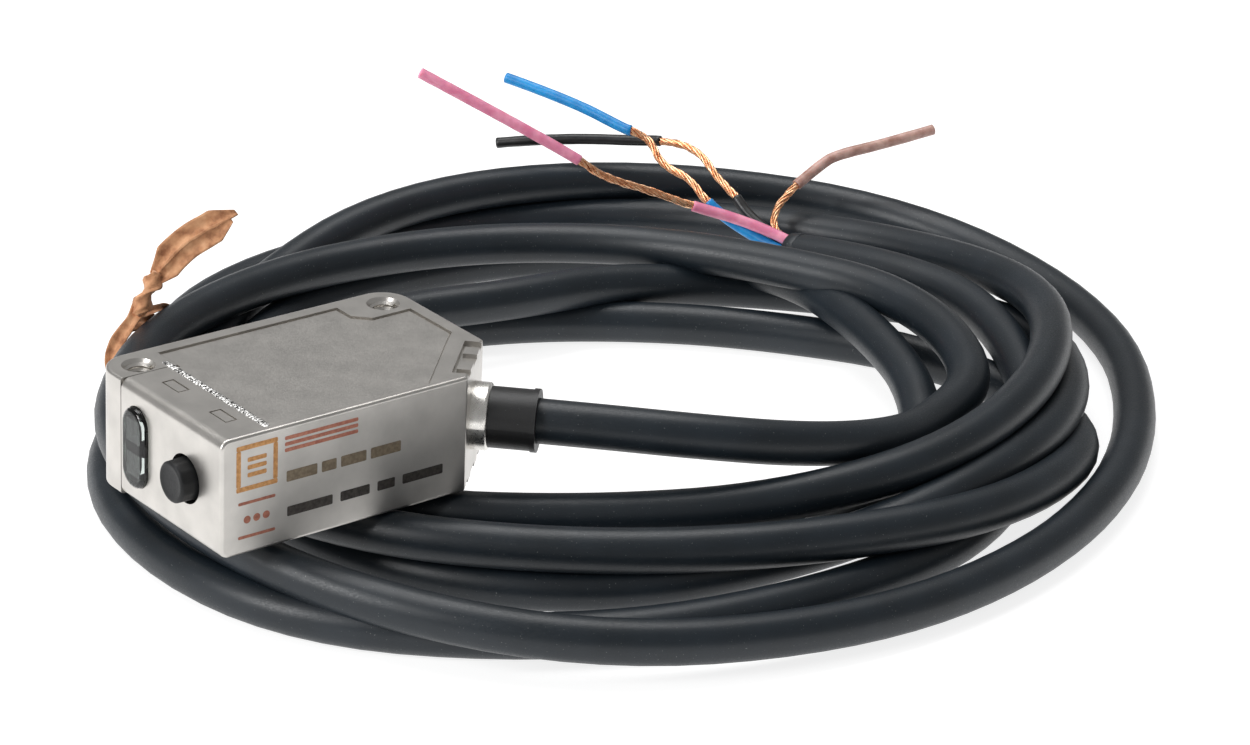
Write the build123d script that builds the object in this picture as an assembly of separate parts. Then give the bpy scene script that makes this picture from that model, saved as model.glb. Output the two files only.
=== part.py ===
"""Miniature photoelectric mark sensor in a welded stainless case, with a coiled pre-wired cable.

Row frame, millimetres: the origin is midway between the two M3 mounting holes, on the upper
mounting face.  +X runs along the case to the cable end, +Y towards the lens, +Z out of the face.
"""
import os
from math import cos, pi, radians, sin, tan

from build123d import *

# ---- driving dimensions -------------------------------------------------------------------
CASE_LENGTH = 31.0
CASE_DEPTH = 20.0
CASE_THICK = 10.8
HOLE_PITCH = 25.4
HOLE_EDGE = 2.8          # from a hole's axis to the end face and to the lens face
TAP_R = 1.25             # tapping bore of an M3 thread
SINK_R = 1.5             # countersunk rim of the mounting holes
SINK_DEPTH = 0.35
CORNER = 6.0             # legs of the 45 degree corner that carries the cable
WALL = 0.7               # side walls
FACE = 0.8               # the two large faces
EDGE_R = 0.3             # rounding of the outer edges
BEND_R = 0.9             # the cover sheet's bends between its end wall and its strips
SEAM_WIDE = 0.1          # the fine gap along the cover's seam
SEAM_DEEP = 0.25
PANEL_DEPTH = 0.15       # the large faces are coined down by this much
GROOVE = 0.2             # width of the groove round the coined panel
PAST = 1.0               # a cutting shape runs this far past the face it opens

CABLE_R = 2.0
CONDUCTOR_R = 0.55       # over the insulation
STRAND_R = 0.28          # over the bare copper
FIT = 0.02               # gap round the cable in its glands

BUTTON_R = 1.95
BUTTON_PROUD = 1.45
BUTTON_TRAVEL = 0.5
WINDOW_WIDE = 3.4
WINDOW_TALL = 7.4
WINDOW_PROUD = 0.6
LENS_R = 3.5
LENS_GAP = 0.1           # round the lens and the window in the case
BUTTON_GAP = 0.25        # round the button in the cover

HEAD_LIFT = 8.0          # the head lies this high, on two layers of cable

# ---- places that follow from them ---------------------------------------------------------
END_X = CASE_LENGTH / 2
LENS_Y = HOLE_EDGE
LABEL_Y = LENS_Y - CASE_DEPTH
TOP = 0.0
BOTTOM = -CASE_THICK
MID = -CASE_THICK / 2
FLOOR = BOTTOM - HEAD_LIFT
HOLE_X = HOLE_PITCH / 2
COVER_X = -END_X + 4.8   # the cover's strips end here, at the weld
SEAM_Y = -1.7            # the cover's seam beside mounting hole 1
BUTTON_Y = LABEL_Y + 5.5
WINDOW_Y = LABEL_Y + 13.0
LENS_X = -1.0
BOARD_Z = (BOTTOM + 0.9, TOP - 0.9)

# the cable leaves along this line, square to the 45 degree corner
DIAGONAL = Vector(1, -1, 0).normalized()
EXIT_FACE = Vector(END_X - CORNER / 2, LABEL_Y + CORNER / 2, MID)
EXIT_PLANE = Plane(EXIT_FACE, x_dir=Vector(1, 1, 0).normalized(), z_dir=DIAGONAL)


# ---- helpers ------------------------------------------------------------------------------
def span(x, y, z):
    """A box between the given low and high values on each axis."""
    size = [high - low for low, high in (x, y, z)]
    middle = [(low + high) / 2 for low, high in (x, y, z)]
    return Pos(*middle) * Box(*size)


def mirrored_in_z(shape):
    """The same feature on the opposite large face."""
    return mirror(shape, about=Plane.XY.offset(MID))


def rod(start, end, radius):
    """A round bar between two points."""
    start, end = Vector(*start), Vector(*end)
    axis = end - start
    return extrude(Plane(start, z_dir=axis) * Circle(radius), axis.length)


def ring(start, end, outer, inner):
    """A round bar with a round hole through it."""
    return rod(start, end, outer) - rod(start, end, inner)


def on_exit(distance):
    """A point on the cable's exit line, that far outside the corner face."""
    return EXIT_FACE + DIAGONAL * distance


def exit_ring(start, end, outer, inner=CABLE_R + FIT):
    """A ring round the cable's exit line."""
    return ring(on_exit(start), on_exit(end), outer, inner)


def smooth_radii(points):
    """As large an arc at each corner of a route as its two runs allow."""
    points = [Vector(*p) for p in points]
    radii = []
    for before, here, after in zip(points, points[1:], points[2:]):
        turn = radians((here - before).get_angle(after - here))
        shorter = min((here - before).length, (after - here).length)
        radii.append(0.45 * shorter / tan(turn / 2))
    return radii


def route(points):
    """Straight runs joined by tangent arcs."""
    return FilletPolyline(*points, radius=smooth_radii(points))


def tube(path, radius):
    """A round solid along a path."""
    section = Plane(path @ 0, z_dir=path % 0) * Circle(radius)
    return sweep(section, path=path)


def capsule(x_from, x_to, wide, tall, y=WINDOW_Y):
    """An upright slot shape, extruded along X."""
    plane = Plane((x_from, y, MID), x_dir=(0, 0, 1), z_dir=(1, 0, 0))
    return extrude(plane * SlotOverall(tall, wide), x_to - x_from)


# ---- case ---------------------------------------------------------------------------------
def case_outline(inset=0.0):
    """The case in plan: a box with one cut corner and two corners round the holes."""
    low_x, high_x = -END_X + inset, END_X - inset
    low_y, high_y = LABEL_Y + inset, LENS_Y - inset
    cut = CORNER - inset * (2 - 2 ** 0.5)
    bend = HOLE_EDGE - inset
    line = Polyline(
        (low_x, high_y - bend), (low_x, low_y), (high_x - cut, low_y), (high_x, low_y + cut),
        (high_x, high_y - bend))
    corner_2 = ThreePointArc(
        (high_x, high_y - bend), (HOLE_X + bend * cos(pi / 4), bend * sin(pi / 4)), (HOLE_X, high_y))
    top = Line((HOLE_X, high_y), (-HOLE_X, high_y))
    corner_1 = ThreePointArc(
        (-HOLE_X, high_y), (-HOLE_X - bend * cos(pi / 4), bend * sin(pi / 4)), (low_x, high_y - bend))
    return make_face(line + corner_2 + top + corner_1)


def rims(block):
    """The edges round the two large faces."""
    return block.edges().filter_by(lambda e: abs(abs(e.center().Z - MID) - CASE_THICK / 2) < FIT)


def case_block():
    """The full outer shape, its outer edges rounded."""
    block = Pos(0, 0, BOTTOM) * extrude(case_outline(), CASE_THICK)
    upright = block.edges().filter_by(Axis.Z).filter_by(lambda e: e.center().Y < -PAST)
    return fillet(rims(fillet(upright, EDGE_R)), EDGE_R)


def cover_block():
    """The cover's outer shape: wide bends between its end wall and its two strips."""
    high_x = END_X - CORNER
    block = span((-END_X, high_x), (LABEL_Y, SEAM_Y), (BOTTOM, TOP))
    bends = rims(block).filter_by(Axis.Y).filter_by(lambda e: e.center().X < 0)
    block = fillet(bends, BEND_R)
    front = block.edges().filter_by(lambda e: abs(e.center().Y - LABEL_Y) < FIT and e.center().X < high_x - FIT)
    return fillet(front, EDGE_R)


def case_shell():
    """Walls and faces with the two solid bosses that carry the mounting holes."""
    block = case_block()
    cavity = Pos(0, 0, BOTTOM + FACE) * extrude(case_outline(WALL), CASE_THICK - 2 * FACE)
    boss = HOLE_EDGE
    bosses = span((-END_X, -HOLE_X + boss), (SEAM_Y, LENS_Y), (BOTTOM, TOP))
    bosses += span((HOLE_X - boss, END_X), (-boss, LENS_Y), (BOTTOM, TOP))
    shell = (block - cavity) + (bosses & block)
    for x in (-HOLE_X, HOLE_X):
        shell -= rod((x, 0, BOTTOM), (x, 0, TOP), TAP_R)
        sink = Pos(x, 0, TOP - SINK_DEPTH / 2) * Cone(TAP_R, SINK_R, SINK_DEPTH)
        shell -= sink
        shell -= mirrored_in_z(sink)
    return shell


def cover_zone():
    """The space that belongs to the cover: its label wall, end wall and two strips."""
    label_wall = span((-END_X, END_X - CORNER), (LABEL_Y, LABEL_Y + WALL), (BOTTOM, TOP))
    end_cap = span((-END_X, COVER_X), (LABEL_Y, SEAM_Y), (BOTTOM, TOP))
    return label_wall + end_cap


def seam_groove():
    """A fine groove in the case along the cover's seam, over the end wall and both faces."""
    around = span((-END_X - PAST, COVER_X), (SEAM_Y, SEAM_Y + SEAM_WIDE), (BOTTOM - PAST, TOP + PAST))
    core = span((-END_X + SEAM_DEEP, COVER_X + PAST), (SEAM_Y - PAST, SEAM_Y + PAST),
                (BOTTOM + SEAM_DEEP, TOP - SEAM_DEEP))
    return around - core


PANEL_EDGE = 1.4         # plain rim left round the coined panel
PANEL_BAR = 8.0          # legs of its 45 degree edge beside the cable corner
BOSS_LAND = 1.2          # plain face left round hole 2's boss
BOSS_CUT = 1.4           # legs of the small 45 degree step beside that boss


def panel_outline(inset=0.0):
    """The coined panel: it stops at the weld, the lens rim, hole 2's boss and the cut corner."""
    weld_x = COVER_X + inset
    low_y = LABEL_Y + WALL + inset
    high_x = END_X - PANEL_EDGE - inset
    high_y = LENS_Y - PANEL_EDGE - inset
    boss_x = HOLE_X - HOLE_EDGE - BOSS_LAND - inset
    boss_y = BOSS_CUT - HOLE_EDGE + BOSS_LAND / 2 - inset
    bar = PANEL_BAR - inset * (2 - 2 ** 0.5)
    boss_1 = -HOLE_X + HOLE_EDGE + inset
    return make_face(Polyline(
        (weld_x, low_y), (high_x - bar, low_y), (high_x, low_y + bar),
        (high_x, boss_y - BOSS_CUT), (boss_x + BOSS_CUT, boss_y - BOSS_CUT),
        (boss_x, boss_y), (boss_x, high_y), (boss_1, high_y),
        (boss_1, SEAM_Y - inset), (weld_x, SEAM_Y - inset), close=True))


def panel_cut():
    """What coining takes away from the upper face, with the finer groove round its rim."""
    floor = extrude(panel_outline(), -PANEL_DEPTH)
    groove_depth = 2 * PANEL_DEPTH
    groove = extrude(panel_outline(), -groove_depth) - extrude(panel_outline(GROOVE), -groove_depth)
    return floor + groove


# pocket along the cut corner, where the end plate's lugs are folded down
POCKET_LONG = 7.0
POCKET_WIDE = 1.5
POCKET_DEEP = 0.45
LUG_LONG = 1.5
LUG_WIDE = 1.25
LUG_OFFSET = 1.7
LUG_SUNK = 0.1           # the lugs end this far below the face


def corner_box(along, outward, z):
    """A box set square to the cut corner."""
    size_along, size_out = along[1] - along[0], outward[1] - outward[0]
    shift = EXIT_PLANE.x_dir * ((along[0] + along[1]) / 2) + DIAGONAL * ((outward[0] + outward[1]) / 2)
    centre = Vector(EXIT_FACE.X, EXIT_FACE.Y, (z[0] + z[1]) / 2) + shift
    place = Plane(centre, x_dir=EXIT_PLANE.x_dir, z_dir=(0, 0, 1))
    return place * Box(size_along, size_out, z[1] - z[0])


def corner_pocket():
    half = POCKET_LONG / 2
    return corner_box((-half, half), (-POCKET_WIDE, PAST), (TOP - POCKET_DEEP, TOP + PAST))


def end_plate():
    """The plate in the cut corner, held by two folded lugs on each face."""
    half = POCKET_LONG / 2
    plate = corner_box((-half, half), (-WALL, 0), (BOTTOM + POCKET_DEEP, TOP - POCKET_DEEP))
    for side in (-1, 1):
        middle = side * LUG_OFFSET
        lug = corner_box((middle - LUG_LONG / 2, middle + LUG_LONG / 2), (-LUG_WIDE, 0),
                         (TOP - POCKET_DEEP, TOP - LUG_SUNK))
        plate += lug
        plate += mirrored_in_z(lug)
    return plate - rod(on_exit(-WALL - PAST), on_exit(PAST), COLLAR_NECK_R)


LANCE_X = -END_X + 3.1   # the pressed tabs' middle line
LANCE_Y = (LABEL_Y + 3.2, LABEL_Y + 10.5)
LANCE_WIDE = 1.2
LANCE_LONG = 2.6
LANCE_DEEP = 0.2
LANCE_SLIT = 0.15        # the gap pressed open round each tab


def lance_cuts():
    """Two pressed tabs in the cover's strip."""
    half = LANCE_WIDE / 2
    cuts = []
    for y in LANCE_Y:
        slot = span((LANCE_X - half, LANCE_X + half), (y, y + LANCE_LONG), (TOP - LANCE_DEEP, TOP))
        tongue = span((LANCE_X - half + LANCE_SLIT, LANCE_X + half - LANCE_SLIT),
                      (y + LANCE_SLIT, y + LANCE_LONG - LANCE_SLIT), (TOP - LANCE_DEEP, TOP - FIT))
        cuts.append(slot - tongue)
    return cuts


WELD_R = 0.42
WELD_SUNK = 0.03         # the bead stays just below the mounting face
WELD_Y = (LABEL_Y + 0.5, SEAM_Y + 1.2)


def weld_bead():
    """The laser weld over the seam between the cover's strip and the panel."""
    x = COVER_X + WELD_R / 4
    z = TOP - WELD_SUNK - WELD_R
    return rod((x, WELD_Y[0], z), (x, WELD_Y[1], z), WELD_R)


def case_parts():
    shell = case_shell()
    zone = cover_zone()
    pocket, cut = corner_pocket(), panel_cut()
    half = POCKET_LONG / 2
    plate_zone = corner_box((-half, half), (-WALL, PAST), (BOTTOM, TOP))
    main = shell - zone - plate_zone
    for feature in (pocket, cut):
        main -= feature
        main -= mirrored_in_z(feature)
    main -= rod((LENS_X, LENS_Y - 2 * WALL, MID), (LENS_X, LENS_Y + PAST, MID), LENS_R + LENS_GAP)
    main -= seam_groove()
    cover = shell & zone & cover_block()
    cover -= capsule(-END_X - PAST, -END_X + PAST, WINDOW_WIDE + LENS_GAP, WINDOW_TALL + LENS_GAP)
    cover -= rod((-END_X - PAST, BUTTON_Y, MID), (-END_X + PAST, BUTTON_Y, MID), BUTTON_R + BUTTON_GAP)
    for feature in lance_cuts():
        cover -= feature
        cover -= mirrored_in_z(feature)
    beads = []
    for bead in (weld_bead(), mirrored_in_z(weld_bead())):
        bead = bead - main - cover
        beads.append(max(bead.solids(), key=lambda s: s.volume))
    return {"main_case": main, "rear_cover": cover, "weld_beads": Compound(beads),
            "cable_end_plate": end_plate()}


# ---- operating end: window, lamps, button, switch -----------------------------------------
WALL_IN = -END_X + WALL          # inner face of the end wall
SEAL = 0.3
BOARD_X = (-12.2, -11.6)
LAMP_Z = 2.1                     # the two lamps lie this far above and below the middle
SWITCH_X = -13.2                 # front face of the tactile switch
SWITCH_HALF = 1.5
PLUNGER_X = -13.5
PLUNGER_R = 0.75
STEM_GAP = 0.05
WINDOW_ROUND = 0.5
FLANGE_THICK = 0.5       # the window's flange behind the wall
FLANGE_WIDE, FLANGE_TALL = WINDOW_WIDE + 1.4, WINDOW_TALL + 1.2
CHAMBER_HALF = 1.1       # half width of the light chamber behind the window
DIVIDER_END = -13.6
LAMP_BASE = (0.9, 0.45)  # how far a lamp's front and its base stand off the board


def indicator_parts():
    dome = capsule(-END_X - WINDOW_PROUD, WALL_IN + SEAL, WINDOW_WIDE, WINDOW_TALL)
    front = dome.edges().filter_by(lambda e: abs(e.center().X + END_X + WINDOW_PROUD) < FIT)
    window = fillet(front, WINDOW_ROUND)
    window += capsule(WALL_IN + SEAL, WALL_IN + SEAL + FLANGE_THICK, FLANGE_WIDE, FLANGE_TALL)
    chamber_y = (WINDOW_Y - CHAMBER_HALF, WINDOW_Y + CHAMBER_HALF)
    chamber_half = WINDOW_TALL / 2 - CHAMBER_HALF
    window -= span((-END_X, WALL_IN + PAST), chamber_y, (MID - chamber_half, MID + chamber_half))
    divider = span((-END_X, DIVIDER_END), chamber_y, (MID - WINDOW_ROUND, MID + WINDOW_ROUND))
    gasket = capsule(WALL_IN, WALL_IN + SEAL, FLANGE_WIDE, FLANGE_TALL)
    gasket -= capsule(WALL_IN, WALL_IN + SEAL, WINDOW_WIDE, WINDOW_TALL)
    lamps = []
    lamp_y = (WINDOW_Y - 0.65, WINDOW_Y + 0.65)
    for side in (1, -1):
        z = MID + side * LAMP_Z
        base = span((BOARD_X[0] - LAMP_BASE[1], BOARD_X[0]), lamp_y, (z - 1.0, z + 1.0))
        resin = span((BOARD_X[0] - LAMP_BASE[0], BOARD_X[0] - LAMP_BASE[1]), lamp_y, (z - 0.7, z + 0.7))
        lamps.append(base + resin)
    board = span(BOARD_X, (LABEL_Y + 1.2, SEAM_Y - 0.7), BOARD_Z)
    return {"indicator_window": window, "indicator_divider": divider, "window_gasket": gasket,
            "operation_lamp": lamps[0], "stability_lamp": lamps[1], "indicator_board": board}


CAP_THICK = 0.9


def button_parts():
    def x_rod(x_from, x_to, radius):
        return rod((x_from, BUTTON_Y, MID), (x_to, BUTTON_Y, MID), radius)

    face = -END_X - BUTTON_PROUD
    seat = WALL_IN + SEAL + STEM_GAP
    skirt_end = seat + 0.55
    cap = x_rod(face, seat, BUTTON_R)
    front = cap.edges().filter_by(lambda e: abs(e.center().X - face) < FIT)
    cap = fillet(front, 0.35) + x_rod(seat, skirt_end, BUTTON_R + 0.75)
    cap -= x_rod(face + CAP_THICK, skirt_end, BUTTON_R - 0.65)
    cap += x_rod(face + CAP_THICK, PLUNGER_X - STEM_GAP, 0.8)
    seal = x_rod(WALL_IN, WALL_IN + SEAL, BUTTON_R + 0.95)
    seal -= x_rod(WALL_IN, WALL_IN + SEAL, BUTTON_R + BUTTON_GAP)
    half = SWITCH_HALF
    body = span((SWITCH_X, BOARD_X[0]), (BUTTON_Y - half, BUTTON_Y + half), (MID - half, MID + half))
    body = fillet(body.edges().filter_by(Axis.X), EDGE_R)
    body -= x_rod(SWITCH_X, BOARD_X[0] - 0.15, PLUNGER_R + LENS_GAP)
    plunger = x_rod(PLUNGER_X, SWITCH_X + 0.25, PLUNGER_R)
    return {"teach_button": cap, "button_seal": seal, "tactile_switch": body, "switch_plunger": plunger}


# ---- optics -------------------------------------------------------------------------------
OPTIC_FRONT = LENS_Y - WALL - SEAL - 0.6     # the lens flange's rear face
CUBE = 4.6
CUBE_Y = -4.7


def optic_parts():
    def y_rod(y_from, y_to, radius):
        return rod((LENS_X, y_from, MID), (LENS_X, y_to, MID), radius)

    wall_in = LENS_Y - WALL
    lens = y_rod(OPTIC_FRONT, LENS_Y - 0.05, LENS_R) + y_rod(OPTIC_FRONT, wall_in - SEAL, LENS_R + 0.6)
    bulge_r, bulge = 7.0, 0.8
    ball = Pos(LENS_X, OPTIC_FRONT - bulge + bulge_r, MID) * Sphere(bulge_r)
    lens += ball & y_rod(OPTIC_FRONT - bulge, OPTIC_FRONT, LENS_R - 0.2)
    gasket = y_rod(wall_in - SEAL, wall_in, LENS_R + 0.6) - y_rod(wall_in - SEAL, wall_in, LENS_R + 0.1)

    half = CUBE / 2
    cube_y = (CUBE_Y - half, CUBE_Y + half)
    cube = span((LENS_X - half, LENS_X + half), cube_y, (MID - half, MID + half))
    holder_x = (LENS_X - 6, LENS_X + 6)
    holder_y = (-11.5, OPTIC_FRONT)
    holder = span(holder_x, holder_y, (BOTTOM + 1, TOP - 1))
    holder = fillet(holder.edges().filter_by(Axis.Y), 0.8)
    holder -= y_rod(cube_y[1], OPTIC_FRONT, LENS_R - 0.1)
    holder -= cube
    holder -= y_rod(holder_y[0], cube_y[0], 1.55)
    flange_y = -10.5
    holder -= y_rod(holder_y[0], flange_y, 2.0)
    holder -= rod((LENS_X + half, CUBE_Y, MID), (holder_x[1], CUBE_Y, MID), 1.8)

    tip_y = cube_y[0] - 0.1
    emitter = y_rod(flange_y, tip_y - 1.4, 1.5) + y_rod(flange_y - 0.6, flange_y, 1.9)
    emitter += Pos(LENS_X, tip_y - 1.5, MID) * Sphere(1.4)
    for side in (-1, 1):
        x = LENS_X + side * 1.27
        emitter += rod((x, BOARD_Y[1], MID), (x, flange_y - 0.5, MID), 0.25)

    side_x = holder_x[1]
    receiver = span((side_x, side_x + 1.2), (CUBE_Y - 1.7, CUBE_Y + 1.7), (MID - 1.7, MID + 1.7))
    receiver += rod((side_x - 0.9, CUBE_Y, MID), (side_x, CUBE_Y, MID), 1.5)
    shield = span((side_x, side_x + 1.8), (CUBE_Y - 2.6, CUBE_Y + 2.6), (MID - 2.6, MID + 2.6))
    shield -= span((side_x, side_x + 1.5), (CUBE_Y - 2.3, CUBE_Y + 2.3), (MID - 2.3, MID + 2.3))
    return {"sensing_lens": lens, "lens_gasket": gasket, "optics_holder": holder, "beam_splitter": cube,
            "emitter_led": emitter, "receiver_photodiode": receiver, "receiver_shield": shield}


# ---- electronics --------------------------------------------------------------------------
BOARD_Y = (-15.2, -14.4)


def chip(x, z, size_x, size_z, height):
    """A package standing on the main board's inner face."""
    return span((x, x + size_x), (BOARD_Y[1], BOARD_Y[1] + height), (z, z + size_z))


def board_parts():
    board = span((-9.5, 8.0), BOARD_Y, BOARD_Z)
    processor = chip(-7.6, -8.2, 5.0, 5.0, 0.9)
    regulator = chip(1.4, -9.2, 2.9, 2.8, 1.1)
    capacitors = [chip(1.4 + 1.5 * k, -3.6, 0.8, 1.6, 0.8) for k in range(3)]
    capacitors.append(chip(-7.4, -2.8, 3.2, 1.6, 1.6))
    resistors = [chip(-2.0 + 0.8 * k, -9.6, 0.5, 1.0, 0.35) for k in range(4)]
    resistors += [chip(-3.4 + 0.8 * k, -2.6, 0.5, 1.0, 0.35) for k in range(5)]
    thick = 0.15
    jumper_z = (MID - 1.5, MID + 1.5)
    jumper = span((BOARD_X[1], BOARD_X[1] + thick), (BOARD_Y[1], BOARD_Y[1] + 2.0), jumper_z)
    jumper += span((BOARD_X[1], -8.2), (BOARD_Y[1], BOARD_Y[1] + thick), jumper_z)
    return {"main_board": board, "processor_chip": processor, "regulator_chip": regulator,
            "board_capacitors": Compound(capacitors), "board_resistors": Compound(resistors),
            "flex_jumper": jumper}


# ---- cable entry --------------------------------------------------------------------------
COLLAR_R = 3.0
COLLAR_LONG = 1.5
COLLAR_NECK_R = 2.5
SLEEVE_R = 2.7
SLEEVE_END = 5.7
JACKET_IN = -3.2         # the jacket ends this far inside the corner face


def entry_parts():
    collar = exit_ring(0, COLLAR_LONG, COLLAR_R)
    rims = collar.edges().filter_by(GeomType.CIRCLE).filter_by(lambda e: e.radius > COLLAR_R - FIT)
    collar = fillet(rims.filter_by(lambda e: (e.arc_center - on_exit(COLLAR_LONG)).length < FIT), 0.3)
    collar += exit_ring(-WALL, 0, COLLAR_NECK_R)
    sleeve = exit_ring(COLLAR_LONG, SLEEVE_END, SLEEVE_R)
    sleeve += exit_ring(SLEEVE_END - 0.5, SLEEVE_END, SLEEVE_R + 0.1)
    seal = exit_ring(-2.0, -WALL, COLLAR_R - 0.1)
    clamp = exit_ring(-3.0, -2.0, CABLE_R + 0.5)
    leads = []
    for k in range(4):
        step = k - 1.5
        start = on_exit(JACKET_IN) + Vector(0, 0, 0.95 * step)
        board_z = MID + 1.4 * step
        points = [start, start - DIAGONAL * 1.3, (6.5, -11.3, board_z), (6.5, BOARD_Y[1], board_z)]
        leads.append(tube(FilletPolyline(*points, radius=0.6), 0.4))
    return {"cable_collar": collar, "strain_relief": sleeve, "cable_seal": seal, "cable_clamp": clamp,
            "inner_leads": Compound(leads)}


# ---- free cable ---------------------------------------------------------------------------
COIL_X = 38.0            # the coil's turns are measured from this axis, on Y = 0
LEAD_ROUTE = [
    on_exit(JACKET_IN),
    on_exit(9.0),
    (27.2, -27.2, -6.1),
    (36.0, -30.4, -7.8),
    (45.5, -30.6, -9.8),
    (53.5, -28.0, -11.4),
]
FIRST_HEADING = -40.0    # degrees, and one station each 45 degrees after it
OUTER_REACH = [52.5, 60.5, 53.5, 47.0, 48.5, 55.5, 53.0, 49.0]
INNER_REACH = [28.5, 23.5, 17.0, 16.5, 31.5, 33.0, 28.0, 27.5]
COIL_LOW = 7.7           # two layers of cable
COIL_HIGH = 11.3         # three layers, on the side away from the head
RISE_FROM, RISE_TO = 22.0, 34.0
TIE_HEADING = 140.0
TIE_INNER, TIE_OUTER = 30.6, 49.4     # the tie's loop, from the coil's axis
TIE_WIDE = 4.0
TIE_THICK = 0.35
TIE_ROOM = 0.45          # the turns leave this much room for the tie to pass under them


def coil_outline(reaches):
    """A smooth closed line at the given distance from the coil's axis, every 45 degrees."""
    points = []
    for k, reach in enumerate(reaches):
        heading = radians(FIRST_HEADING + 45 * k)
        points.append((COIL_X + reach * cos(heading), reach * sin(heading)))
    return make_face(Spline(*points, periodic=True))


def outward(heading):
    """The level direction away from the coil's axis."""
    return Vector(cos(radians(heading)), sin(radians(heading)), 0)


def upright_plane(heading):
    """A plane through the coil's axis: its X points outward and its Y up from the floor."""
    out = outward(heading)
    return Plane((COIL_X, 0, FLOOR), x_dir=out, z_dir=out.cross(Vector(0, 0, 1)))


def coil():
    """The outer shape of the loose turns: low under the head, higher where they cross."""
    outline = coil_outline(OUTER_REACH) - coil_outline(INNER_REACH)
    body = Pos(0, 0, FLOOR) * extrude(outline, COIL_HIGH)
    far = 80.0
    roof = Polyline((-far, COIL_LOW), (RISE_FROM, COIL_LOW), (RISE_TO, COIL_HIGH), (far, COIL_HIGH),
                    (far, far), (-far, far), close=True)
    body -= extrude(upright_plane(FIRST_HEADING) * make_face(roof), far, both=True)
    channel = Pos((TIE_INNER + TIE_OUTER) / 2, 0) * Rectangle(2 * (TIE_OUTER - TIE_INNER), 2 * TIE_ROOM)
    return body - extrude(upright_plane(TIE_HEADING) * channel, TIE_WIDE / 2 + TIE_ROOM, both=True)


def tie():
    """A paper twist tie: a flat loop round the bundle and its twisted end."""
    high = COIL_LOW + 2 * TIE_ROOM
    width = TIE_OUTER - TIE_INNER
    middle = (TIE_INNER + TIE_OUTER) / 2
    band = Pos(middle, high / 2) * RectangleRounded(width, high, 1.5)
    band -= Pos(middle, high / 2) * RectangleRounded(width - 2 * TIE_THICK, high - 2 * TIE_THICK, 1.2)
    loop = extrude(upright_plane(TIE_HEADING) * band, TIE_WIDE / 2, both=True)
    stem_from = Vector(COIL_X, 0, FLOOR + high) + outward(TIE_HEADING) * (TIE_OUTER - 3.0)
    stem_to = Vector(7.8, 30.3, -6.4)
    stem = rod(stem_from, stem_to, 0.8)
    leaf_to = Vector(14.9, 27.3, -1.6)
    run = leaf_to - stem_to
    leaf_plane = Plane((stem_to + leaf_to) / 2, x_dir=run, z_dir=run.cross(Vector(0, 0, 1)))
    leaf = leaf_plane * Box(run.length + 1, 3.4, 0.5)
    return loop + stem + leaf


# each conductor: the points of its run, and where its insulation stops and starts again
CONDUCTORS = {
    "pink": ([(75.2, 21.2, -11.6), (68.4, 25.5, -10.6), (59.2, 31.4, -6.4), (46.0, 41.4, 2.6)], 0.26, 0.52),
    "blue": ([(74.2, 23.6, -11.6), (71.2, 28.6, -9.9), (68.3, 35.0, -6.2), (61.4, 48.0, -3.0)], 0.17, 0.48),
    "black": ([(76.4, 24.6, -11.6), (74.8, 30.6, -9.4), (71.2, 36.8, -8.3), (61.0, 48.4, -9.8)], 0.16, 0.44),
    "brown": ([(77.4, 22.0, -11.6), (80.3, 22.4, -9.6), (85.0, 22.4, -7.6), (95.4, 19.9, -6.3)], 0.22, 0.40),
}
CONDUCTOR_BEND = 2.2


def conductor_parts():
    """Bare strands along each conductor, with insulation at its root and at its tip."""
    nodes = {}
    for colour, (points, root_end, tip_start) in CONDUCTORS.items():
        path = FilletPolyline(*points, radius=CONDUCTOR_BEND)
        strands = tube(path, STRAND_R)
        jackets = []
        for low, high in ((0.0, root_end), (tip_start, 0.985)):
            piece = path.trim(low, high)
            jackets.append(tube(piece, CONDUCTOR_R) - strands)
        nodes[colour + "_strands"] = strands
        nodes[colour + "_insulation"] = Compound([max(j.solids(), key=lambda s: s.volume) for j in jackets])
    return nodes


def cable_parts():
    path = route(LEAD_ROUTE)
    print("lead radii", [round(r, 1) for r in smooth_radii(LEAD_ROUTE)])
    lead = tube(path, CABLE_R)
    print("lead volume %.1f, section times length %.1f" % (lead.volume, pi * CABLE_R ** 2 * path.length))
    nodes = {"cable_lead": lead, "cable_coil": coil(), "coil_tie": tie()}
    nodes.update(conductor_parts())
    return nodes


GROUPS = (case_parts, indicator_parts, button_parts, optic_parts, board_parts, entry_parts, cable_parts)


def main():
    os.makedirs("parts", exist_ok=True)
    nodes = {}
    for group in GROUPS:
        nodes.update(group())
    for name, shape in nodes.items():
        export_step(shape, f"parts/{name}.step")
    print(len(nodes), "nodes")


main()
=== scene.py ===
from math import cos, hypot, pi, radians, sin

import bpy
from mathutils import Matrix, Vector, noise

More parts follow.
